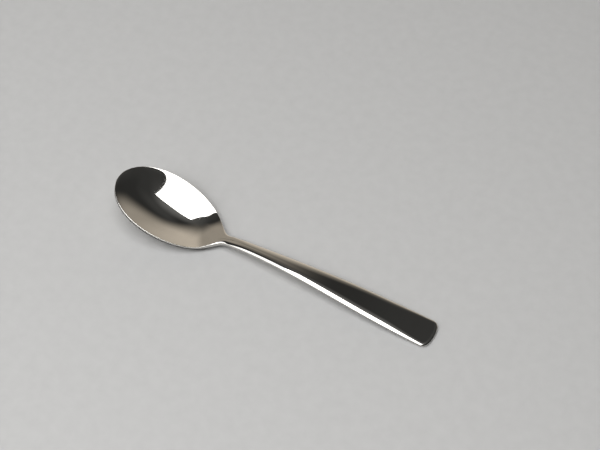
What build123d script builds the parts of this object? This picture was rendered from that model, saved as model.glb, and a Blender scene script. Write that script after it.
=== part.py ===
"""A polished steel teaspoon lying on its back, drawn as three named lengths of one blank.

The spoon is pressed from a single piece of steel.  Its surface is drawn once, as a smooth skin
through a row of cross-sections from the tip of the bowl to the end of the handle, and then parted
at two upright planes into the bowl, the neck and the handle, so the skin runs on across each seam.

Sizes are in millimetres.  X runs from the tip of the bowl to the end of the handle, Y runs across
and Z is up.  The spoon rests on Z = 0 on the bottom of its bowl and on a small flat under the
handle's end.
"""
from build123d import *
import math
import os

# Plan, seen from above
spoon_length = 140.0
bowl_length = 46.2
bowl_width = 29.6
bowl_bluntness = 0.09
neck_width = 4.75
handle_width = 12.5
handle_end_length = 5.5
handle_end_squareness = 3.0

# Side view
rim_tilt = 16.2
bowl_depth = 4.6
bowl_fullness = 1.08
rim_lip = 0.49
rim_lip_sharpness = 1.5
heel_softness = 0.08
neck_height = 4.7
neck_rise = 0.075
handle_end_fall = 0.095
foot_trim = 0.25

# Thickness of the steel
rim_thickness = 1.0
bowl_thickness = 1.4
neck_thickness = 2.3
neck_edge_thickness = 2.1
handle_thickness = 2.0
handle_edge_thickness = 1.7

# Places along the spoon, as distances from the bowl's tip
shoulder_start = 43.5
shoulder_end = 49.0
heel_start = 38.0
flare_start = 50.0
neck_top = 57.0
flare_end = 130.0
bowl_neck_seam = 47.0
neck_handle_seam = 62.0

# How finely the sections are drawn
stations_in_bowl = 16
stations_in_shoulder = 10
stations_in_handle = 20
stations_in_end = 7
points_across = 11
points_round_edge = 5
smallest_half_width = 0.30

bowl_half_length = bowl_length / 2
bowl_half_width = bowl_width / 2
neck_half_width = neck_width / 2
handle_half_width = handle_width / 2
rim_slope = math.tan(math.radians(rim_tilt))
rim_radius = rim_thickness / 2
end_radius = handle_edge_thickness / 2
handle_end_height = handle_edge_thickness / 2 - foot_trim


def ease(start, finish, value):
    """Go smoothly from 0 at start to 1 at finish."""
    part_way = min(1.0, max(0.0, (value - start) / (finish - start)))
    return part_way * part_way * (3 - 2 * part_way)


def bridge(x, x0, height0, slope0, x1, height1, slope1):
    """Join two points with a cubic that leaves and arrives at the given slopes."""
    span = x1 - x0
    u = (x - x0) / span
    leave = (1 + 2 * u) * (1 - u) ** 2 * height0 + u * (1 - u) ** 2 * span * slope0
    arrive = u * u * (3 - 2 * u) * height1 + u * u * (u - 1) * span * slope1
    return leave + arrive


def egg_half_width(x):
    """Half the width of the egg-shaped bowl."""
    along = (bowl_half_length - x) / bowl_half_length
    return bowl_half_width * math.sqrt(max(0.0, 1 - along * along)) * (1 + bowl_bluntness * along)


def bar_half_width(x):
    """Half the width of the neck and the flared handle, with its rounded end."""
    flare = ease(flare_start, flare_end, x)
    half = neck_half_width + (handle_half_width - neck_half_width) * flare
    end_start = spoon_length - handle_end_length
    if x > end_start:
        into_end = min(1.0, (x - end_start) / handle_end_length)
        half *= (1 - into_end ** handle_end_squareness) ** (1 / handle_end_squareness)
    return half


def half_width(x):
    """Half the width of the whole spoon: egg, shoulders, then neck and handle."""
    if x <= shoulder_start:
        return egg_half_width(x)
    if x >= shoulder_end:
        return bar_half_width(x)
    step = 0.01
    slope0 = (egg_half_width(shoulder_start) - egg_half_width(shoulder_start - step)) / step
    slope1 = (bar_half_width(shoulder_end + step) - bar_half_width(shoulder_end)) / step
    return bridge(x, shoulder_start, egg_half_width(shoulder_start), slope0,
                  shoulder_end, bar_half_width(shoulder_end), slope1)


def dish(x, across):
    """Depth of the bowl below the line of its rim; across is -1 to 1 between the two rims.

    The wall is steepest a little inside the rim and flattens towards it, as a soft lip.
    """
    along = (bowl_half_length - x) / bowl_half_length
    fill = (1 - along * along) * (1 + bowl_bluntness * along) ** 2
    soften = heel_softness * ease(bowl_half_length, bowl_length, x)
    fill = (fill + math.sqrt(fill * fill + soften * soften)) / 2
    hollow = max(0.0, 1 - (1 - min(1.0, fill * (1 - across * across))) ** bowl_fullness)
    return bowl_depth * ((1 - rim_lip) * hollow + rim_lip * hollow ** rim_lip_sharpness)


def half_thickness(x):
    """Half the thickness of the steel on the middle line."""
    into_neck = ease(bowl_half_length, shoulder_end, x)
    into_handle = ease(neck_top, flare_end, x)
    thick = bowl_thickness + (neck_thickness - bowl_thickness) * into_neck
    return (thick + (handle_thickness - neck_thickness) * into_handle) / 2


def edge_radius(x):
    """Radius of the rounded edge."""
    into_neck = ease(heel_start, shoulder_end, x)
    into_handle = ease(neck_top, flare_end, x)
    thick = rim_thickness + (neck_edge_thickness - rim_thickness) * into_neck
    return (thick + (handle_edge_thickness - neck_edge_thickness) * into_handle) / 2


# The rim is set at the height that puts the lowest point of the bowl on the table
heel_height = 0.0
for step in range(1, 100):
    trial = heel_start * step / 100
    lowest = dish(trial, 0.0) + half_thickness(trial) * 1.02 - rim_slope * (heel_start - trial)
    heel_height = max(heel_height, lowest)


def edge_height(x):
    """Height of the middle of the edge above the table."""
    if x <= heel_start:
        return heel_height + rim_slope * (heel_start - x)
    if x <= neck_top:
        return bridge(x, heel_start, heel_height, -rim_slope, neck_top, neck_height, neck_rise)
    return bridge(x, neck_top, neck_height, neck_rise, spoon_length, handle_end_height, -handle_end_fall)


def middle_height(x, across):
    """Height of the middle of the steel; the neck and handle are crowned above and flat below."""
    crown = (half_thickness(x) - edge_radius(x)) * ease(heel_start, neck_top, x)
    return edge_height(x) + crown * (1 - across * across) - dish(x, across)


def end_rounding(x):
    """Thin the steel to a round edge at the very tip and the very end."""
    shrink = 1.0
    for distance, radius in ((x, rim_radius), (spoon_length - x, end_radius)):
        if distance < radius:
            shrink *= math.sqrt(1 - (1 - distance / radius) ** 2)
    return max(shrink, 0.35)


def section(x):
    """One closed cross-section at a distance x from the bowl's tip."""
    half = max(half_width(x), smallest_half_width)
    shrink = end_rounding(x)
    edge = min(edge_radius(x) * shrink, half * 0.8)
    middle = max(half_thickness(x) * shrink, edge)
    inner = half - edge

    def frame_at(across):
        near = max(-0.99, min(0.99, across))
        rise = middle_height(x, near + 0.01) - middle_height(x, near - 0.01)
        length = math.hypot(rise, 0.02 * inner)
        tangent = (0.02 * inner / length, rise / length)
        centre = (across * inner, middle_height(x, across))
        return centre, tangent

    upper, lower = [], []
    for index in range(points_across):
        even = 1 - 2 * index / (points_across - 1)
        across = (even + math.sin(math.pi / 2 * even)) / 2
        (y, z), (ty, tz) = frame_at(across)
        half_here = edge + (middle - edge) * (1 - across * across)
        upper.append((y - tz * half_here, z + ty * half_here))
        lower.append((y + tz * half_here, z - ty * half_here))

    def edge_arc(side):
        """Points round one edge, from the upper skin over to the lower skin."""
        (y, z), (ty, tz) = frame_at(side)
        arc = []
        for index in range(points_round_edge):
            angle = math.pi * (0.5 - index / (points_round_edge - 1))
            out = side * edge * math.cos(angle)
            up = edge * math.sin(angle)
            arc.append((y + ty * out - tz * up, z + tz * out + ty * up))
        return arc

    def curve(points):
        knots = [index / (len(points) - 1) for index in range(len(points))]
        return Edge.make_spline([Vector(x - spoon_length / 2, y, z) for y, z in points], parameters=knots)

    return Wire([curve(upper), curve(edge_arc(-1)), curve(lower[::-1]), curve(edge_arc(1)[::-1])])


# Stations crowd together at the round tip, the shoulders and the round end
stations = []
for index in range(stations_in_bowl):
    turn = math.acos(1 - heel_start / bowl_half_length) * index / (stations_in_bowl - 1)
    stations.append(max(0.02, bowl_half_length * (1 - math.cos(turn))))
shoulder_run = shoulder_end - heel_start
for index in range(1, stations_in_shoulder + 1):
    stations.append(heel_start + shoulder_run * (index / stations_in_shoulder) ** 0.8)
handle_run = spoon_length - handle_end_length - shoulder_end
for index in range(1, stations_in_handle + 1):
    stations.append(shoulder_end + handle_run * (index / stations_in_handle) ** 1.4)
for index in range(1, stations_in_end + 1):
    turn = math.pi / 2 * index / stations_in_end
    reach = handle_end_length * math.sin(turn)
    stations.append(spoon_length - handle_end_length + min(reach, handle_end_length - 0.02))

blank = Solid.make_loft([section(x) for x in stations], ruled=False)

# The underside of the handle's end is dressed flat where it stands on the table
table = Pos(0, 0, -spoon_length / 2) * Box(2 * spoon_length, spoon_length, spoon_length)
blank = (blank - table).solids()[0]

# Parting the blank leaves each length closed by the same flat section at the seam
nodes = {}
rest = blank
for name, seam in (("bowl", bowl_neck_seam), ("neck", neck_handle_seam)):
    plane = Plane(origin=(seam - spoon_length / 2, 0, 0), x_dir=(0, 1, 0), z_dir=(1, 0, 0))
    nodes[name] = rest.split(plane, keep=Keep.BOTTOM)
    rest = rest.split(plane, keep=Keep.TOP)
nodes["handle"] = rest

os.makedirs("parts", exist_ok=True)
for name, shape in nodes.items():
    solid = shape.solids()[0]
    solid.label = name
    export_step(solid, f"parts/{name}.step")
    box = solid.bounding_box()
    print(name, "volume", round(solid.volume, 1), "x", round(box.min.X, 2), round(box.max.X, 2),
          "y", round(box.min.Y, 2), round(box.max.Y, 2), "z", round(box.min.Z, 3), round(box.max.Z, 2))
print("heel height", round(heel_height, 2), "rim height at the tip", round(edge_height(0.0), 2))
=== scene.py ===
# %% [markdown]
# # A mirror-polished teaspoon
#
# This lesson dresses a packed teaspoon. The real one is stamped from a single strip of stainless
# steel: the bowl is pressed into a die, the handle is rolled thinner and flared, and the whole thing
# is polished until it reflects the room. A mirror shows every flaw of the mesh beneath it, so most
# of the work here goes into a very even skin with exact normals, and into a plain room for that skin
# to reflect.

# %% Load the frame
import math
import bpy
import numpy as np
from mathutils import Matrix, Vector


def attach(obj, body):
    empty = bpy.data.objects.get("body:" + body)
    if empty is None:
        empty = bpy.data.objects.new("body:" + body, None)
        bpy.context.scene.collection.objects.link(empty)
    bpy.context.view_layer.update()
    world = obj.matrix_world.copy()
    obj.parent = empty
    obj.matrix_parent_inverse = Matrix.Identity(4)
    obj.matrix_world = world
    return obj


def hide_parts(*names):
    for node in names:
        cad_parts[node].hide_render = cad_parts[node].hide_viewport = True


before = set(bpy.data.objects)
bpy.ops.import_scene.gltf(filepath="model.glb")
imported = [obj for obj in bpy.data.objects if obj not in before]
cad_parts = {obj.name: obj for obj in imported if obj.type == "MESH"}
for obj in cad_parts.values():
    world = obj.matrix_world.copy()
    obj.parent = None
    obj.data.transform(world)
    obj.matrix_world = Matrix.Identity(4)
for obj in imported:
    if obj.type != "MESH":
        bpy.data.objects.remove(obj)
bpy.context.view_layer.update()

print("nodes in the frame:", sorted(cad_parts))

# %% [markdown]
# ## Sizes of the spoon
#
# The sizes are in millimetres, measured from the tip of the bowl. They are those of the solid model,
# apart from three: the shoulders are a little softer, the corners of the handle's end a little squarer,
# and the bends of the side line are eased, which only a mirror needs. The curves could be read off the
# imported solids, but the solids are stored as triangles, and a mirror would show the triangles. Drawing
# the curves again from a few sizes gives a skin that is smooth at any density.

# %% Sizes
SPOON_LENGTH = 140.0
BOWL_LENGTH, BOWL_WIDTH, BOWL_BLUNTNESS = 46.2, 29.6, 0.09
NECK_WIDTH, HANDLE_WIDTH = 4.75, 12.5
END_LENGTH, END_SQUARENESS = 3.0, 2.3
RIM_TILT = 16.2
BOWL_DEPTH, BOWL_FULLNESS, HEEL_SOFTNESS = 4.6, 1.08, 0.08
RIM_LIP, LIP_POWER = 0.49, 1.5
NECK_HEIGHT, NECK_RISE = 4.7, 0.075
END_FALL, FOOT_TRIM = 0.095, 0.25
BEND_EASE = 2.4
RIM_THICK, BOWL_THICK = 1.0, 1.4
NECK_THICK, NECK_EDGE_THICK = 2.3, 2.1
HANDLE_THICK, HANDLE_EDGE_THICK = 2.0, 1.7
SHOULDER_START, SHOULDER_END, HEEL_START = 41.0, 50.5, 38.0
FLARE_START, NECK_TOP, FLARE_END = 50.0, 57.0, 130.0
BOWL_SEAM, HANDLE_SEAM = 47.0, 62.0
HALF_BOWL = BOWL_LENGTH / 2
RIM_SLOPE = math.tan(math.radians(RIM_TILT))
END_HEIGHT = HANDLE_EDGE_THICK / 2 - FOOT_TRIM


def ease(start, finish, value):
    """Go smoothly from 0 at start to 1 at finish."""
    part_way = np.clip((np.asarray(value, float) - start) / (finish - start), 0, 1)
    return part_way * part_way * (3 - 2 * part_way)


def bridge(x, x0, height0, slope0, x1, height1, slope1):
    """Join two points with a cubic that leaves and arrives at the given slopes."""
    span = x1 - x0
    u = (x - x0) / span
    leave = (1 + 2 * u) * (1 - u) ** 2 * height0 + u * (1 - u) ** 2 * span * slope0
    arrive = u * u * (3 - 2 * u) * height1 + u * u * (u - 1) * span * slope1
    return leave + arrive


print("spoon", SPOON_LENGTH, "mm long, bowl", BOWL_WIDTH, "mm wide")

# %% [markdown]
# ## The plan: an egg, two shoulders and a flared bar
#
# Seen from above, the blank is an egg for the bowl, blunter towards the tip, that runs through two
# soft shoulders into a narrow neck. The neck flares into the handle, whose end is cut almost straight
# with rounded corners. An outline could be drawn as one hand-placed curve; short formulas are used
# instead, because they give a width and a slope at every point along the spoon.


# %% Plan of the blank
def egg_half_width(x):
    """Half the width of the egg-shaped bowl."""
    along = (HALF_BOWL - x) / HALF_BOWL
    return BOWL_WIDTH / 2 * np.sqrt(np.maximum(0, 1 - along * along)) * (1 + BOWL_BLUNTNESS * along)


def bar_half_width(x):
    """Half the width of the neck and the flared handle, with its rounded end."""
    half = NECK_WIDTH / 2 + (HANDLE_WIDTH - NECK_WIDTH) / 2 * ease(FLARE_START, FLARE_END, x)
    into_end = np.clip((x - (SPOON_LENGTH - END_LENGTH)) / END_LENGTH, 0, 1)
    return half * np.maximum(0, 1 - into_end ** END_SQUARENESS) ** (1 / END_SQUARENESS)


def plan_half_width(x):
    """Half the width of the whole spoon: egg, shoulders, then neck and handle."""
    step = 0.01
    slope0 = (egg_half_width(SHOULDER_START) - egg_half_width(SHOULDER_START - step)) / step
    slope1 = (bar_half_width(SHOULDER_END + step) - bar_half_width(SHOULDER_END)) / step
    shoulder = bridge(x, SHOULDER_START, egg_half_width(SHOULDER_START), slope0,
                      SHOULDER_END, bar_half_width(SHOULDER_END), slope1)
    bar_or_shoulder = np.where(x >= SHOULDER_END, bar_half_width(x), shoulder)
    return np.where(x <= SHOULDER_START, egg_half_width(x), bar_or_shoulder)


bowl_widths = 2 * plan_half_width(np.linspace(0, BOWL_LENGTH, 200))
print("bowl", round(float(bowl_widths.max()), 2), "mm across at its widest")

# %% [markdown]
# ## The side view: a tilted dish and a long low arch
#
# The rim of the bowl is a straight line, tilted so that the tip stands highest. At the heel the line
# turns up into the neck and then falls in a long arch to the end of the handle. The three curves could
# simply be joined end to end, but a mirror shows each sudden change of bend, so the line is averaged
# over a short stretch each way. Inside the rim the bowl is a shallow dish, steepest a little inside the
# rim and flatter at it, as a soft lip. It is scaled to reach its full depth at one place only, so it
# has no flat at the bottom. The steel is thin at the rim, thicker in the bowl and thickest at the neck.
# The height of the rim follows from the dish, so that the lowest point of the bowl meets the table.


# %% Side view of the blank
def steel_half_thickness(x):
    """Half the thickness of the steel on the middle line."""
    thick = BOWL_THICK + (NECK_THICK - BOWL_THICK) * ease(HALF_BOWL, SHOULDER_END, x)
    return (thick + (HANDLE_THICK - NECK_THICK) * ease(NECK_TOP, FLARE_END, x)) / 2


def edge_radius(x):
    """Half the thickness of the steel at its edge."""
    thick = RIM_THICK + (NECK_EDGE_THICK - RIM_THICK) * ease(HEEL_START, SHOULDER_END, x)
    return (thick + (HANDLE_EDGE_THICK - NECK_EDGE_THICK) * ease(NECK_TOP, FLARE_END, x)) / 2


# The hollow is fullest at this share of half the bowl's length towards the tip
deepest = (math.sqrt(1 + 8 * BOWL_BLUNTNESS ** 2) - 1) / (4 * BOWL_BLUNTNESS)
FULLEST = (1 - deepest ** 2) * (1 + BOWL_BLUNTNESS * deepest) ** 2


def dish_depth(x, across):
    """Depth of the bowl below the line of its rim; across is -1 to 1 between the two rims."""
    along = (HALF_BOWL - x) / np.where(x < HALF_BOWL, HALF_BOWL - RIM_THICK / 2, HALF_BOWL)
    fill = (1 - along * along) * (1 + BOWL_BLUNTNESS * along) ** 2 / FULLEST
    soften = HEEL_SOFTNESS * ease(HALF_BOWL, BOWL_LENGTH, x)
    fill = (fill + np.sqrt(fill * fill + soften * soften)) / 2
    hollow = 1 - np.maximum(0, 1 - fill * (1 - across * across)) ** BOWL_FULLNESS
    return BOWL_DEPTH * ((1 - RIM_LIP) * hollow + RIM_LIP * np.maximum(hollow, 0) ** LIP_POWER)


# A tilted wall reaches down a little further than half its thickness
TILTED_WALL = 1.02
trial = np.linspace(1.0, HEEL_START, 400)
HEEL_HEIGHT = float(np.max(dish_depth(trial, 0.0) + steel_half_thickness(trial) * TILTED_WALL
                           - RIM_SLOPE * (HEEL_START - trial)))


def side_line(x):
    """Height of the edge above the table, as three curves joined end to end."""
    rim = HEEL_HEIGHT + RIM_SLOPE * (HEEL_START - x)
    neck = bridge(x, HEEL_START, HEEL_HEIGHT, -RIM_SLOPE, NECK_TOP, NECK_HEIGHT, NECK_RISE)
    arch = bridge(x, NECK_TOP, NECK_HEIGHT, NECK_RISE, SPOON_LENGTH, END_HEIGHT, -END_FALL)
    return np.where(x <= HEEL_START, rim, np.where(x <= NECK_TOP, neck, arch))


def edge_height(x):
    """The side line with its bends eased, so that no reflection breaks there."""
    shifts = np.linspace(-BEND_EASE, BEND_EASE, 9)
    return np.mean([side_line(x + shift) for shift in shifts], axis=0)


def middle_height(x, across):
    """Height of the middle of the steel."""
    return edge_height(x) - dish_depth(x, across)


print("rim height at the tip:", round(float(edge_height(np.array(0.0))), 2), "mm")

# %% [markdown]
# ## The rounded edge
#
# On the real spoon the cut edge of the strip is ground and buffed. Round the bowl it has a tight fillet
# above, a short upright face and a rounder underside. Along the handle the flat top rolls softly into a
# narrow bevel, which catches the light as a bright line. A small corner, an upright face and the same
# rounded underside follow. A bevel modifier could cut such an edge, but it would not keep an exact
# normal. So the edge is described by how sharply it bends at each tilt, from level to upright and on to
# the underside: a small radius makes a tight bend there, and a large one a nearly flat face.

# %% Edge
BEVEL_START, BEVEL_END, BEVEL_FULL, BEVEL_FADE = 45.0, 52.0, 85.0, 118.0
FACE_FROM, FACE_TO = 7.5, 42.0
ROLL_RADIUS, FACE_RADIUS, CORNER_RADIUS = 13.0, 2.4, 0.35
NECK_ROLL, END_BEVEL = 0.5, 0.42
RIM_FILLET, LOWER_ROUND = 0.14, 0.68
ROLL_STEPS, FACE_STEPS, CORNER_STEPS, LOWER_STEPS = 8, 8, 5, 7

tilt = np.radians(np.concatenate([np.linspace(0, FACE_FROM, ROLL_STEPS + 1),
                                  np.linspace(FACE_FROM, FACE_TO, FACE_STEPS + 1)[1:],
                                  np.linspace(FACE_TO, 90, CORNER_STEPS + 1)[1:],
                                  np.linspace(90, 180, LOWER_STEPS + 1)]))
EDGE_STEPS = len(tilt) - 1
middle_tilt = np.degrees((tilt[1:] + tilt[:-1]) / 2)
upright = np.diff(tilt) == 0
bevel_bend = np.select([middle_tilt < FACE_FROM, middle_tilt < FACE_TO],
                       [ROLL_RADIUS, FACE_RADIUS], CORNER_RADIUS)
outward_part, downward_part = np.diff(np.sin(tilt)), -np.diff(np.cos(tilt))


def edge_profile(x):
    """Steps outward and downward round the edge, for each place along the spoon."""
    share = ease(BEVEL_START, BEVEL_END, x)[:, None]
    roll = NECK_ROLL + (1 - NECK_ROLL) * ease(NECK_TOP, BEVEL_FULL, x)[:, None]
    size = 1 + (END_BEVEL - 1) * ease(BEVEL_FADE, SPOON_LENGTH, x)[:, None]
    square = 1 - ease(SHOULDER_START, SHOULDER_END, x)[:, None]
    radius = edge_radius(x)[:, None]
    plain = radius + (RIM_FILLET - radius) * square
    bevel = size * bevel_bend * np.where(middle_tilt < FACE_FROM, roll, 1)
    bend = np.where(middle_tilt < 90, (1 - share) * plain + share * bevel, LOWER_ROUND)
    down_steps = bend * downward_part
    straight = 2 * radius - down_steps.sum(axis=1, keepdims=True)
    return bend * outward_part, down_steps + upright * straight


def edge_sizes(x):
    """How far the edge reaches outward, and its height above and below the middle sheet."""
    flat = np.atleast_1d(np.asarray(x, float)).ravel()
    reach = edge_profile(flat)[0][:, middle_tilt < 90].sum(axis=1)
    radius = edge_radius(flat)
    above = BOWL_THICK / 2 + (radius - BOWL_THICK / 2) * ease(HEEL_START, SHOULDER_END, flat)
    return [size.reshape(np.shape(x)) for size in (reach, above, 2 * radius - above)]


print(EDGE_STEPS, "steps round each edge; the bevel reaches",
      round(float(edge_sizes(np.array(BEVEL_FADE))[0]), 2), "mm inwards")

# %% [markdown]
# ## Rows along the edge
#
# The skin is a net of rows across the spoon. Rows spaced evenly along the spoon would be far apart
# where the outline turns round the tip, so they are spaced evenly along the outline instead. Each row
# starts where the rounded edge begins, which is the outline moved inwards by the reach of the edge.

# %% Rows
ROW_STEP = 0.42
OUTLINE_POINTS = 3000
EGG_TURN = 0.7 * math.pi

turn = np.linspace(0, EGG_TURN, OUTLINE_POINTS)
along_egg = HALF_BOWL * (1 - np.cos(turn))
along_bar = np.linspace(along_egg[-1], SPOON_LENGTH - END_LENGTH, 2 * OUTLINE_POINTS)[1:]
quarter = np.linspace(0, math.pi / 2, OUTLINE_POINTS)[1:]
along_end = SPOON_LENGTH - END_LENGTH + END_LENGTH * np.sin(quarter) ** (2 / END_SQUARENESS)
along = np.concatenate([along_egg, along_bar, along_end])
outline = np.stack([along, plan_half_width(along)], axis=1)
heading = np.gradient(outline, axis=0)
heading /= np.linalg.norm(heading, axis=1, keepdims=True)
outward = np.stack([-heading[:, 1], heading[:, 0]], axis=1)
outward[0], outward[-1] = (-1, 0), (1, 0)
inset = outline - edge_sizes(along)[0][:, None] * outward
inset[:, 1] = np.maximum(inset[:, 1], 0)
run = np.concatenate([[0], np.cumsum(np.linalg.norm(np.diff(inset, axis=0), axis=1))])
row_run = np.linspace(0, run[-1], int(run[-1] / ROW_STEP) + 1)
seam_rows = []
for seam in (BOWL_SEAM, HANDLE_SEAM):
    seam_run = np.interp(seam, inset[:, 0], run)
    seam_rows.append(int(np.argmin(np.abs(row_run - seam_run))))
    row_run[seam_rows[-1]] = seam_run
row_x = np.interp(row_run, run, inset[:, 0])
row_half = np.interp(row_run, run, inset[:, 1])
row_half[0] = row_half[-1] = 0
row_out = np.stack([np.interp(row_run, run, outward[:, axis]) for axis in (0, 1)], axis=1)
print(len(row_x), "rows; seams at rows", seam_rows)

# %% [markdown]
# ## Slopes and normals
#
# A mirror needs the true direction of its surface at every point. Blender could average the faces
# around each point, but near the tip the faces are slivers and the average is poor. The heights are
# known as a formula, so the slopes are taken from the formula with small steps, and the normal
# follows from the two slopes.

# %% Middle sheet of the steel
COLUMNS = 48

even = np.linspace(1, -1, COLUMNS + 1)
column = (even + np.sin(math.pi / 2 * even)) / 2
sheet_x = np.repeat(row_x[:, None], COLUMNS + 1, axis=1)
sheet_half = np.repeat(row_half[:, None], COLUMNS + 1, axis=1)
sheet_across = np.repeat(column[None, :], len(row_x), axis=0)
sheet_across[0] = sheet_across[-1] = 1.0
sheet_y = sheet_across * sheet_half


def half_at(x):
    """Half the width of the sheet, up to where the edge begins."""
    return np.maximum(np.interp(x, row_x, row_half), 1e-3)


def slopes(height):
    """Slopes along X and Y of a height that is a function of x and the place across."""
    step = 0.02
    x = np.clip(sheet_x, row_x[0] + 0.3, row_x[-1] - 0.3)
    ahead = height(x + step, np.clip(sheet_y / half_at(x + step), -1.5, 1.5))
    behind = height(x - step, np.clip(sheet_y / half_at(x - step), -1.5, 1.5))
    nudge = 1e-3
    inner = np.clip(sheet_across, nudge - 1, 1 - nudge)
    rise = height(sheet_x, inner + nudge) - height(sheet_x, inner - nudge)
    return (ahead - behind) / (2 * step), rise / (2 * nudge * np.maximum(sheet_half, 0.05))


def unit(vectors):
    """The same directions with a length of one."""
    return vectors / np.linalg.norm(vectors, axis=-1, keepdims=True)


slope_x, slope_y = slopes(middle_height)
sheet = np.stack([sheet_x, sheet_y, middle_height(sheet_x, sheet_across)], axis=-1)
sheet_normal = unit(np.stack([-slope_x, -slope_y, np.ones_like(slope_x)], axis=-1))
print("steepest slope across the bowl:", round(float(np.abs(slope_y).max()), 2))

# %% [markdown]
# ## Upper and lower skins
#
# The two polished faces are the middle sheet moved out along its normal, each by its own gauge. One
# gauge for both would be simpler. But the steel of the bowl thins towards the rim on its underside, so
# that the upper face keeps the shape of the dish. Towards the neck each gauge becomes the same right
# across, so the top of the handle is flat between its rolled edges. The slope of the gauge tips the
# normal of each skin a little.

# %% Skins
TIP_FADE, END_FADE = 7.0, 9.0


def lower_gauge(x, across):
    """Distance from the middle sheet down to the lower skin."""
    edge = edge_sizes(x)[2]
    middle = steel_half_thickness(x) + (edge - steel_half_thickness(x)) * ease(HEEL_START, NECK_TOP, x)
    return edge + (middle - edge) * (1 - across * across) ** 2 * ease(0, TIP_FADE, x)


def upper_gauge(x, across):
    """Distance from the middle sheet up to the upper skin."""
    edge = edge_sizes(x)[1]
    in_bowl = 2 * steel_half_thickness(x) - lower_gauge(x, 0.0)
    middle = in_bowl + (edge - in_bowl) * ease(HEEL_START, NECK_TOP, x)
    fade = ease(0, TIP_FADE, x) * (1 - ease(SPOON_LENGTH - END_FADE, SPOON_LENGTH, x))
    return edge + (middle - edge) * (1 - across * across) ** 2 * fade


def skin(gauge, side):
    """The sheet moved out by a gauge on one side, with the normals of the moved face."""
    gauge_x, gauge_y = slopes(gauge)
    lean = np.stack([gauge_x, gauge_y, np.zeros_like(gauge_x)], axis=-1)
    lean -= (lean * sheet_normal).sum(axis=-1, keepdims=True) * sheet_normal
    offset = gauge(sheet_x, sheet_across)[..., None] * sheet_normal
    return sheet + side * offset, unit(side * sheet_normal - lean)


upper, upper_normal = skin(upper_gauge, 1)
lower, lower_normal = skin(lower_gauge, -1)
steel = np.linalg.norm(upper - lower, axis=-1)
print("thickness from", round(float(steel.min()), 2), "to", round(float(steel.max()), 2), "mm")

# %% [markdown]
# ## Sweeping the edge
#
# At each row the edge profile stands on the rim of the sheet, in the plane of the outline's outward
# direction and the sheet's normal. A curve with a bevel profile could sweep an edge too, but here the
# profile changes along the spoon and has to meet both skins point for point, so it is worked out row by
# row. Its normals come straight from the tilt.


# %% Sweep
def edge_arc(side):
    """Points and normals over one edge, from the upper skin to the lower skin, for every row."""
    place = 0 if side > 0 else COLUMNS
    normal = sheet_normal[:, place]
    out = np.stack([row_out[:, 0], side * row_out[:, 1], np.zeros(len(row_x))], axis=1)
    out = unit(out - (out * normal).sum(axis=1, keepdims=True) * normal)
    out_steps, down_steps = edge_profile(row_x)
    outs = np.cumsum(out_steps, axis=1)[:, :-1, None]
    downs = np.cumsum(down_steps, axis=1)[:, :-1, None]
    points = upper[:, place][:, None] + outs * out[:, None] - downs * normal[:, None]
    bend_tilt = tilt[1:-1][None, :, None]
    return points, np.sin(bend_tilt) * out[:, None] + np.cos(bend_tilt) * normal[:, None]


near_arc, near_normal = edge_arc(-1)
far_arc, far_normal = edge_arc(1)
print("edge points per row:", 2 * near_arc.shape[1])

# %% [markdown]
# ## One ring for each row
#
# Upper skin, one edge, lower skin and the other edge could stay four sheets that only touch. A real
# spoon has no such gaps, so they join into a closed ring at each row, and stringing the rings together
# gives one skin. At the tip and at the end of the handle the ring closes up to a short arc, so there
# the same points are used from both sides and the squares become triangles.

# %% Rings
ring_points = np.concatenate([upper, near_arc, lower[:, ::-1], far_arc[:, ::-1]], axis=1)
ring_normals = np.concatenate([upper_normal, near_normal,
                               lower_normal[:, ::-1], far_normal[:, ::-1]], axis=1)
ring_size = ring_points.shape[1]
ring_index = np.arange(ring_points.shape[0] * ring_size).reshape(-1, ring_size)
closing = np.arange(ring_size)
lower_start = COLUMNS + EDGE_STEPS
closing[:COLUMNS + 1] = 0
closing[lower_start:lower_start + COLUMNS + 1] = lower_start
closing[lower_start + COLUMNS + 1:] = np.arange(lower_start - 1, COLUMNS, -1)
for row in (0, -1):
    ring_index[row] = ring_index[row][closing]

on_table = ring_points[..., 2] < 0
ring_normals[on_table] = (0, 0, -1)
ring_points[..., 2] = np.maximum(ring_points[..., 2], 0)
ring_points[..., 0] -= SPOON_LENGTH / 2
print(len(ring_points), "rings of", ring_size, "points;", int(on_table.sum()), "points on the foot flat")

# %% [markdown]
# ## Bowl, neck and handle
#
# A real spoon is one piece, and one mesh would look the same. But the solid model parts the spoon at
# two seams into three named lengths, so the skin is parted at the same places. Each length is closed by
# a cap at its seam. The points and normals on both sides of a seam are the same, so the polish runs on
# without a line.


# %% Parting the skin
def seam_cap(row, facing):
    """A cap on the ring: a ladder of faces from its far edge to its near edge."""
    ring = ring_index[row]
    half = EDGE_STEPS // 2
    top = [*ring[-half:], *ring[:COLUMNS + 1 + half]]
    bottom = ring[lower_start - half:][:len(top)][::-1]
    faces = []
    for a, b, c, d in zip(top, top[1:], bottom[1:], bottom):
        corners = list(dict.fromkeys((a, b, c, d)))
        if len(corners) > 2:
            faces.append(corners if facing > 0 else corners[::-1])
    return faces


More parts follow.
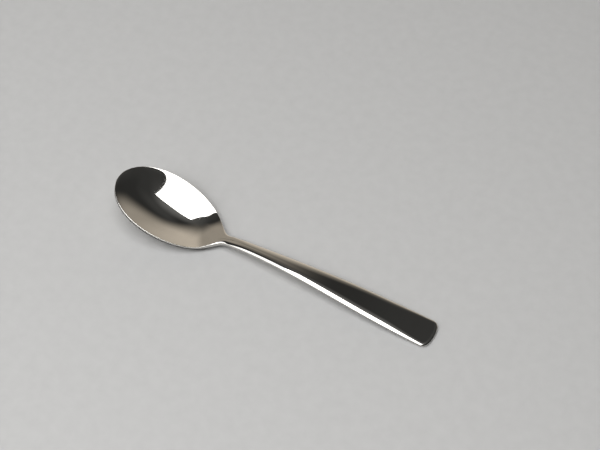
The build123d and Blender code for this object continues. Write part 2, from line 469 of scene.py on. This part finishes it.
def length_of_spoon(name, first, last):
    """A closed mesh of the rings from the first row to the last, with a cap at each seam."""
    faces = []
    for row in range(first, last):
        here, ahead = ring_index[row], ring_index[row + 1]
        for spot in range(ring_size):
            after = (spot + 1) % ring_size
            corners = list(dict.fromkeys((here[spot], here[after], ahead[after], ahead[spot])))
            if len(corners) > 2:
                faces.append(corners)
    skin_count = len(faces)
    if first > 0:
        faces += seam_cap(first, -1)
    if last < len(row_x) - 1:
        faces += seam_cap(last, 1)
    used = np.unique(np.concatenate([np.array(face) for face in faces]))
    renumber = {int(old): new for new, old in enumerate(used)}
    points = ring_points.reshape(-1, 3)[used] * 0.001
    normals = ring_normals.reshape(-1, 3)[used]
    mesh = bpy.data.meshes.new(name)
    mesh.from_pydata(points.tolist(), [], [[renumber[int(corner)] for corner in face] for face in faces])
    corner_normals = []
    for face in mesh.polygons:
        flat = face.index >= skin_count
        face.use_smooth = not flat
        for corner in face.vertices:
            corner_normals.append(tuple(face.normal) if flat else tuple(normals[corner]))
    mesh.normals_split_custom_set(corner_normals)
    piece = bpy.data.objects.new(name, mesh)
    bpy.context.scene.collection.objects.link(piece)
    print(name, len(points), "points,", len(faces), "faces")
    return piece


bowl = length_of_spoon("bowl_skin", 0, seam_rows[0])
neck = length_of_spoon("neck_skin", seam_rows[0], seam_rows[1])
handle = length_of_spoon("handle_skin", seam_rows[1], len(row_x) - 1)

# %% [markdown]
# ## Telling the frame about the pieces
#
# Nothing on a teaspoon moves, so every length rides on the one body. Each stands for the solid of the
# same name, which is hidden.

# %% Rides
for piece, node in ((bowl, "bowl"), (neck, "neck"), (handle, "handle")):
    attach(piece, "root")
    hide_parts(node)
    print(piece.name, "stands for", node)

# %% [markdown]
# ## Small marks that the finishes share
#
# Even a good polish is not perfect. Buffing leaves hair-fine lines along the way the wheel ran, a
# cloth leaves a faint uneven haze, and sliding about in a drawer scuffs the two spots that touch the
# table. Each could be drawn anew in every material, but then a change would have to be made three
# times. So each is made once as a node group and used by every finish with its own values.


# %% Helpers for node groups
def new_group(name, inputs, outputs):
    """An empty node group with named sockets, and its two end nodes."""
    group = bpy.data.node_groups.new(name, "ShaderNodeTree")
    for label, kind, value in inputs:
        socket = group.interface.new_socket(label, in_out="INPUT", socket_type=kind)
        socket.default_value = value
    for label, kind in outputs:
        group.interface.new_socket(label, in_out="OUTPUT", socket_type=kind)
    return group, group.nodes.new("NodeGroupInput"), group.nodes.new("NodeGroupOutput")


def math_node(tree, operation, first, second=None):
    """One step of arithmetic on sockets or plain numbers."""
    node = tree.nodes.new("ShaderNodeMath")
    node.operation = operation
    for socket, value in zip(node.inputs, (first, second)):
        if isinstance(value, (int, float)):
            socket.default_value = value
        elif value is not None:
            tree.links.new(value, socket)
    return node.outputs[0]


def smooth_range(tree, value, low, high, to_low=0.0, to_high=1.0):
    """Go smoothly from to_low to to_high while a value goes from low to high."""
    node = tree.nodes.new("ShaderNodeMapRange")
    node.interpolation_type = "SMOOTHSTEP"
    tree.links.new(value, node.inputs["Value"])
    ends = {"From Min": low, "From Max": high, "To Min": to_low, "To Max": to_high}
    for label, number in ends.items():
        node.inputs[label].default_value = number
    return node.outputs["Result"]


print("helpers ready")

# %% [markdown]
# ## Buffing lines
#
# The buffing wheel runs along the spoon and leaves lines much finer than a hair. A picture of brushed
# metal would blur when seen close, so a noise is used, stretched by scaling it far more across the
# spoon than along it. The group gives a height for the bump and a mask of the strongest lines.

# %% Buffing lines
lines_group, lines_in, lines_out = new_group(
    "buffing_lines",
    [("Vector", "NodeSocketVector", (0, 0, 0)), ("Along", "NodeSocketFloat", 60.0),
     ("Across", "NodeSocketFloat", 3000.0)],
    [("Height", "NodeSocketFloat"), ("Mask", "NodeSocketFloat")])
stretch = lines_group.nodes.new("ShaderNodeCombineXYZ")
lines_group.links.new(lines_in.outputs["Along"], stretch.inputs["X"])
lines_group.links.new(lines_in.outputs["Across"], stretch.inputs["Y"])
lines_group.links.new(lines_in.outputs["Across"], stretch.inputs["Z"])
scaled = lines_group.nodes.new("ShaderNodeVectorMath")
scaled.operation = "MULTIPLY"
lines_group.links.new(lines_in.outputs["Vector"], scaled.inputs[0])
lines_group.links.new(stretch.outputs[0], scaled.inputs[1])
hairs = lines_group.nodes.new("ShaderNodeTexNoise")
hairs.inputs["Scale"].default_value = 1.0
hairs.inputs["Detail"].default_value = 2.0
lines_group.links.new(scaled.outputs[0], hairs.inputs["Vector"])
lines_group.links.new(hairs.outputs[0], lines_out.inputs["Height"])
lines_group.links.new(smooth_range(lines_group, hairs.outputs[0], 0.58, 0.75), lines_out.inputs["Mask"])
print(lines_group.name, "has", len(lines_group.nodes), "nodes")

# %% [markdown]
# ## Cloth haze
#
# Wiping leaves soft patches that are a touch duller than the rest. Painting them by hand would tie them
# to one mesh; a broad, slightly twisted noise gives patches of the right size anywhere.

# %% Cloth haze
haze_group, haze_in, haze_out = new_group(
    "cloth_haze",
    [("Vector", "NodeSocketVector", (0, 0, 0)), ("Patch Size", "NodeSocketFloat", 90.0)],
    [("Mask", "NodeSocketFloat")])
patches = haze_group.nodes.new("ShaderNodeTexNoise")
patches.inputs["Detail"].default_value = 4.0
patches.inputs["Distortion"].default_value = 0.6
haze_group.links.new(haze_in.outputs["Vector"], patches.inputs["Vector"])
haze_group.links.new(haze_in.outputs["Patch Size"], patches.inputs["Scale"])
haze_group.links.new(smooth_range(haze_group, patches.outputs[0], 0.35, 0.75), haze_out.inputs["Mask"])
print(haze_group.name, "has", len(haze_group.nodes), "nodes")

# %% [markdown]
# ## Table scuffs
#
# The spoon stands on the bottom of its bowl and on the end of its handle, and there it gets rubbed. The
# places need no painting: they are the lowest ones, so the height above the table makes the mask, and a
# fine noise breaks it up.

# %% Table scuffs
scuff_group, scuff_in, scuff_out = new_group(
    "table_scuffs",
    [("Vector", "NodeSocketVector", (0, 0, 0)), ("Reach", "NodeSocketFloat", 0.0012)],
    [("Mask", "NodeSocketFloat")])
place = scuff_group.nodes.new("ShaderNodeSeparateXYZ")
scuff_group.links.new(scuff_in.outputs["Vector"], place.inputs[0])
height_share = math_node(scuff_group, "DIVIDE", place.outputs["Z"], scuff_in.outputs["Reach"])
near_table = smooth_range(scuff_group, height_share, 1.0, 0.15)
scratches = scuff_group.nodes.new("ShaderNodeTexNoise")
scratches.inputs["Scale"].default_value = 900.0
scratches.inputs["Detail"].default_value = 5.0
scuff_group.links.new(scuff_in.outputs["Vector"], scratches.inputs["Vector"])
rubbed = smooth_range(scuff_group, scratches.outputs[0], 0.42, 0.62)
scuff_group.links.new(math_node(scuff_group, "MULTIPLY", near_table, rubbed), scuff_out.inputs["Mask"])
print(scuff_group.name, "has", len(scuff_group.nodes), "nodes")

# %% [markdown]
# ## Polished steel
#
# Stainless steel reflects about six tenths of the light, a touch less in the blue, and a mirror
# polish keeps edges in its reflection crisp. A glossy white paint would be wrong: a metal has no
# colour of its own below the reflection. The haze and the lines change the roughness by small amounts,
# and the lines lift the surface by far less than the width of a hair.

# %% Steel finishes
STEEL = (0.635, 0.62, 0.59, 1.0)
DULL_STEEL = (0.60, 0.583, 0.552, 1.0)
MIRROR_ROUGHNESS, HAZE_ROUGHNESS = 0.035, 0.025
LINE_ROUGHNESS, SCUFF_ROUGHNESS = 0.03, 0.22
HAZE_PATCHES = 90.0
LINE_STRENGTH, LINE_DEPTH = 0.25, 0.000002


def steel_finish(name, along_lines, across_lines, scuff_reach):
    """Polished steel with its own run of buffing lines and its own height of scuffs."""
    material = bpy.data.materials.new(name)
    material.use_nodes = True
    tree = material.node_tree
    shader = tree.nodes["Principled BSDF"]
    shader.inputs["Metallic"].default_value = 1.0
    where = tree.nodes.new("ShaderNodeTexCoord").outputs["Object"]

    def use(group, **values):
        node = tree.nodes.new("ShaderNodeGroup")
        node.node_tree = group
        tree.links.new(where, node.inputs["Vector"])
        for label, value in values.items():
            node.inputs[label.replace("_", " ")].default_value = value
        return node

    lines = use(lines_group, Along=along_lines, Across=across_lines)
    haze = use(haze_group, Patch_Size=HAZE_PATCHES)
    scuffs = use(scuff_group, Reach=scuff_reach)
    rough = MIRROR_ROUGHNESS
    for mark, amount in ((haze, HAZE_ROUGHNESS), (lines, LINE_ROUGHNESS), (scuffs, SCUFF_ROUGHNESS)):
        rough = math_node(tree, "ADD", rough, math_node(tree, "MULTIPLY", mark.outputs["Mask"], amount))
    tree.links.new(rough, shader.inputs["Roughness"])
    tint = tree.nodes.new("ShaderNodeMix")
    tint.data_type = "RGBA"
    tint.inputs["A"].default_value = STEEL
    tint.inputs["B"].default_value = DULL_STEEL
    dulled = math_node(tree, "MAXIMUM", haze.outputs["Mask"], scuffs.outputs["Mask"])
    tree.links.new(dulled, tint.inputs["Factor"])
    tree.links.new(tint.outputs["Result"], shader.inputs["Base Color"])
    bump = tree.nodes.new("ShaderNodeBump")
    bump.inputs["Strength"].default_value = LINE_STRENGTH
    bump.inputs["Distance"].default_value = LINE_DEPTH
    tree.links.new(lines.outputs["Height"], bump.inputs["Height"])
    tree.links.new(bump.outputs[0], shader.inputs["Normal"])
    return material


finishes = {
    bowl: steel_finish("bowl_polish", along_lines=220.0, across_lines=2600.0, scuff_reach=0.0016),
    neck: steel_finish("neck_polish", along_lines=60.0, across_lines=3000.0, scuff_reach=0.0001),
    handle: steel_finish("handle_polish", along_lines=60.0, across_lines=3000.0, scuff_reach=0.0012),
}
for piece, finish in finishes.items():
    piece.data.materials.append(finish)
print("finishes:", [finish.name for finish in finishes.values()])

# %% [markdown]
# ## The table
#
# The spoon lies on a plain pale table. A curved backdrop would hide the far edge, but the camera looks
# down and never sees it, so a single large square is enough. A faint grain keeps it from looking flat.

# %% Table
bpy.ops.mesh.primitive_plane_add(size=6.0, location=(0, 0, 0))
table = bpy.context.object
table.name = "table_top"
table_paint = bpy.data.materials.new("table_paint")
table_paint.use_nodes = True
tree = table_paint.node_tree
shader = tree.nodes["Principled BSDF"]
shader.inputs["Roughness"].default_value = 0.75
shader.inputs["Specular IOR Level"].default_value = 0.25
grain = tree.nodes.new("ShaderNodeTexNoise")
grain.inputs["Scale"].default_value = 220.0
grain.inputs["Detail"].default_value = 6.0
tree.links.new(tree.nodes.new("ShaderNodeTexCoord").outputs["Object"], grain.inputs["Vector"])
tone = tree.nodes.new("ShaderNodeMix")
tone.data_type = "RGBA"
tone.inputs["A"].default_value = (0.47, 0.47, 0.468, 1.0)
tone.inputs["B"].default_value = (0.53, 0.53, 0.527, 1.0)
tree.links.new(grain.outputs[0], tone.inputs["Factor"])
tree.links.new(tone.outputs["Result"], shader.inputs["Base Color"])
table.data.materials.append(table_paint)
print(table.name, [round(side, 2) for side in table.dimensions[:2]], "m")

# %% [markdown]
# ## Where the camera stands
#
# The camera looks down at 53 degrees, from the side of the spoon and a little towards the end of the
# handle. A wider lens from nearer by would show as much of the table, but the end of the handle, which
# is nearest, would look swollen. A long lens from about half a metre keeps the spoon's proportions.

# %% Camera
VIEW_TURN, VIEW_RISE, VIEW_DISTANCE = math.radians(28.61), math.radians(53.0), 0.5684
look_at = Vector((-0.0001, 0.02276, 0.0))
back = Vector((math.sin(VIEW_TURN) * math.cos(VIEW_RISE), -math.cos(VIEW_TURN) * math.cos(VIEW_RISE),
               math.sin(VIEW_RISE)))
right = Vector((math.cos(VIEW_TURN), math.sin(VIEW_TURN), 0.0))
away = Vector((-math.sin(VIEW_TURN), math.cos(VIEW_TURN), 0.0))
lens = bpy.data.cameras.new("camera")
lens.lens, lens.sensor_width, lens.sensor_fit = 85.0, 36.0, "HORIZONTAL"
lens.clip_start, lens.clip_end = 0.01, 50.0
camera = bpy.data.objects.new("camera", lens)
camera.matrix_world = Matrix((right, back.cross(right), back)).transposed().to_4x4()
camera.location = look_at + VIEW_DISTANCE * back
bpy.context.scene.collection.objects.link(camera)
bpy.context.scene.camera = camera
print("camera at", [round(value, 3) for value in camera.location])

# %% [markdown]
# ## Two softboxes
#
# A polished spoon is lit by what it reflects. The key softbox hangs level over the table, on the
# camera's side and to its left. Its picture fills the far wall of the bowl and runs as a bright line
# along the near edge of the handle. A second one, long and half as bright, reaches far out to the left
# and lights the table. Glowing meshes would do, but area lights are smoother at few samples. The key's
# corners are set by the directions in which the bowl shows them.

# %% Softboxes
BOX_HEIGHT, FILL_HEIGHT = 0.95, 0.86
bowl_middle = Vector((-0.046, 0.0, 0.006))


def over_table(sideways, forwards, height):
    """A place above the bowl; its way to the right and away from the camera are shares of its height."""
    return bowl_middle + height * (sideways * right + forwards * away + Vector((0, 0, 1)))


def hang_softbox(name, corner, next_corner, depth, radiance):
    """A level rectangle of light with its front edge between two corners."""
    upward = Vector((0, 0, 1))
    across = (next_corner - corner).normalized()
    width = (next_corner - corner).length
    backward = upward.cross(across)
    light = bpy.data.lights.new(name, "AREA")
    light.shape, light.size, light.size_y = "RECTANGLE", width, depth
    light.energy = radiance * math.pi * width * depth
    box = bpy.data.objects.new(name, light)
    box.matrix_world = Matrix((across, backward, upward)).transposed().to_4x4()
    box.location = (corner + next_corner) / 2 + backward * depth / 2
    box.visible_camera = False
    bpy.context.scene.collection.objects.link(box)
    print(name, round(width, 2), "by", round(depth, 2), "m,", round(light.energy, 1), "W")


hang_softbox("key_softbox", over_table(0.456, -0.026, BOX_HEIGHT), over_table(-0.030, 0.355, BOX_HEIGHT),
             depth=1.1, radiance=4.0)
hang_softbox("fill_softbox", over_table(-0.15, 0.06, FILL_HEIGHT), over_table(-2.8, -0.53, FILL_HEIGHT),
             depth=0.8, radiance=2.0)

# %% [markdown]
# ## The room around it
#
# Beyond the softboxes the room is dim, and ahead of the camera a warm wall catches some light. The near
# wall of the bowl and the far edge of the handle reflect that wall, and the flat of the handle reflects
# the dim space above it. A picture of a real room could be wrapped round the scene. Smooth ranges of
# direction are used instead, because each can be set by what the steel shows.

# %% Directions in the room
world = bpy.data.worlds.new("room")
bpy.context.scene.world = world
world.use_nodes = True
tree = world.node_tree
sky = tree.nodes["Background"]
direction = tree.nodes.new("ShaderNodeTexCoord").outputs["Generated"]


def part_along(axis):
    """How much a direction points along an axis, from -1 to 1."""
    node = tree.nodes.new("ShaderNodeVectorMath")
    node.operation = "DOT_PRODUCT"
    tree.links.new(direction, node.inputs[0])
    node.inputs[1].default_value = axis
    return node.outputs["Value"]


def bearing_range(start, finish):
    """Go smoothly from 0 to 1 between two bearings, in degrees to the right of straight ahead."""
    return smooth_range(tree, bearing, math.radians(start), math.radians(finish))


def product(value, *others):
    """All values multiplied together."""
    for other in others:
        value = math_node(tree, "MULTIPLY", value, other)
    return value


to_right, to_far, height = part_along(right), part_along(away), part_along(Vector((0, 0, 1)))
bearing = math_node(tree, "ARCTAN2", to_right, to_far)
from_zenith = math_node(tree, "ARCCOSINE", height)
print("straight ahead is", [round(value, 2) for value in away])

# %% [markdown]
# ## The warm wall
#
# The wall is brightest a little to the right of straight ahead, where a glow lies on it, and fades out
# to both sides. Its top is soft, and slopes down to the left and to the right. It could be a real plane
# with a lamp on it, but that lamp would light the table as well.

# %% Wall
WALL_TOP, TOP_SLOPE_RIGHT, TOP_SLOPE_LEFT = math.radians(36), 0.47, 0.8
WALL_LIGHT, GLOW_LIGHT = 0.57, 0.43
WALL_COLOUR = (0.69, 0.615, 0.517)

past_right = math_node(tree, "MAXIMUM", math_node(tree, "ADD", bearing, math.radians(8)), 0.0)
past_left = math_node(tree, "MAXIMUM", math_node(tree, "SUBTRACT", math.radians(-30), bearing), 0.0)
sunk = math_node(tree, "ADD", product(past_right, TOP_SLOPE_RIGHT), product(past_left, TOP_SLOPE_LEFT))
below_top = math_node(tree, "SUBTRACT", from_zenith, math_node(tree, "ADD", sunk, WALL_TOP))
wall_rise = smooth_range(tree, below_top, math.radians(-15), math.radians(16))
plain_wall = product(bearing_range(-88, -58), bearing_range(105, 35), WALL_LIGHT)
glow = product(bearing_range(-14, 6), bearing_range(34, 8), GLOW_LIGHT)
wall = product(math_node(tree, "ADD", plain_wall, glow), wall_rise)
print("top of the wall", round(90 - math.degrees(WALL_TOP)), "degrees up")

# %% [markdown]
# ## The dim space
#
# The rest of the room is nearly dark. A little light comes from straight overhead and spills over to
# the right, and a pale band lies along the horizon. One even grey would be simpler, but the steel would
# then look flat in its dark parts.

# %% Dim space
OVERHEAD_LIGHT, SPILL_LIGHT = 0.15, 0.03
DIM_LIGHT, HORIZON_LIGHT = 0.036, 0.486
DIM_COLOUR = (1.0, 1.0, 0.98)

overhead = product(smooth_range(tree, height, 0.85, 0.97, 0.0, OVERHEAD_LIGHT),
                   smooth_range(tree, to_right, -0.28, 0.10, 0.1, 1.0),
                   smooth_range(tree, to_far, -0.18, 0.20, 0.25, 1.0))
spill = product(smooth_range(tree, height, 0.66, 0.84, 0.0, SPILL_LIGHT),
                smooth_range(tree, to_right, 0.15, 0.35),
                smooth_range(tree, to_far, -0.05, 0.30, 0.35, 1.0))
horizon = smooth_range(tree, height, 0.20, 0.06, DIM_LIGHT, HORIZON_LIGHT)
dim = math_node(tree, "ADD", math_node(tree, "ADD", overhead, spill), horizon)


def tinted(value, colour):
    """A colour made brighter or darker by a value."""
    node = tree.nodes.new("ShaderNodeVectorMath")
    node.operation = "SCALE"
    node.inputs[0].default_value = colour
    tree.links.new(value, node.inputs["Scale"])
    return node.outputs[0]


room_light = tree.nodes.new("ShaderNodeVectorMath")
room_light.operation = "ADD"
tree.links.new(tinted(wall, WALL_COLOUR), room_light.inputs[0])
tree.links.new(tinted(dim, DIM_COLOUR), room_light.inputs[1])
tree.links.new(room_light.outputs[0], sky.inputs["Color"])
sky.inputs["Strength"].default_value = 1.0
print("room painted with", len(tree.nodes), "nodes")

# %% [markdown]
# ## Colours as they are
#
# Colours are shown as they are, with no film look.

# %% Finish
bpy.context.scene.view_settings.view_transform = "Standard"
